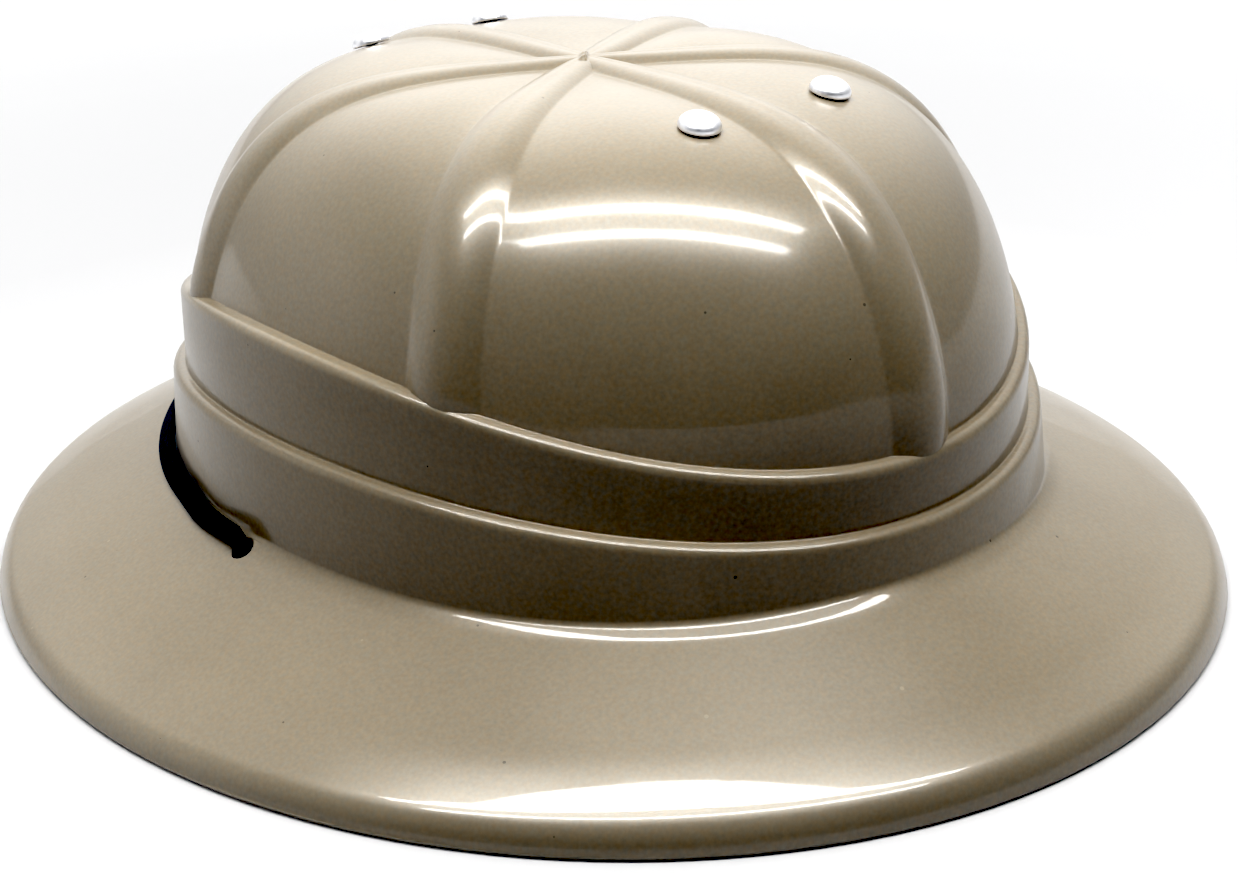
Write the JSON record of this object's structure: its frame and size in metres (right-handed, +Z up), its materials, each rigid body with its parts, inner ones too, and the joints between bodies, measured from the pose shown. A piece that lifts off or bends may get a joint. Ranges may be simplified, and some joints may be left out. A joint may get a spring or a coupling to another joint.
{
  "type": "pith helmet",
  "caption": "Glossy moulded plastic pith helmet with a ribbed crown, two stepped bands, a sloping turned-down brim, domed rivets and an elastic chin strap.",
  "frame": {"origin": "on the floor under the middle of the helmet's brim", "axes": "+Y from the helmet's front to its back, +X to the wearer's left, +Z up through the crown"},
  "size_m": [0.3038, 0.33, 0.1261],
  "materials": {
    "shell_plastic": "glossy khaki-beige moulded plastic",
    "rivet_metal": "bright polished silver",
    "strap_elastic": "matt black woven elastic"
  },
  "bodies": {
    "root": {"helmet_shell": "shell_plastic", "rivet_front_left": "rivet_metal", "rivet_front_right": "rivet_metal", "rivet_back_left": "rivet_metal", "rivet_back_right": "rivet_metal", "chin_strap": "strap_elastic", "strap_knot_left": "strap_elastic", "strap_knot_right": "strap_elastic"}
  },
  "joints": []
}
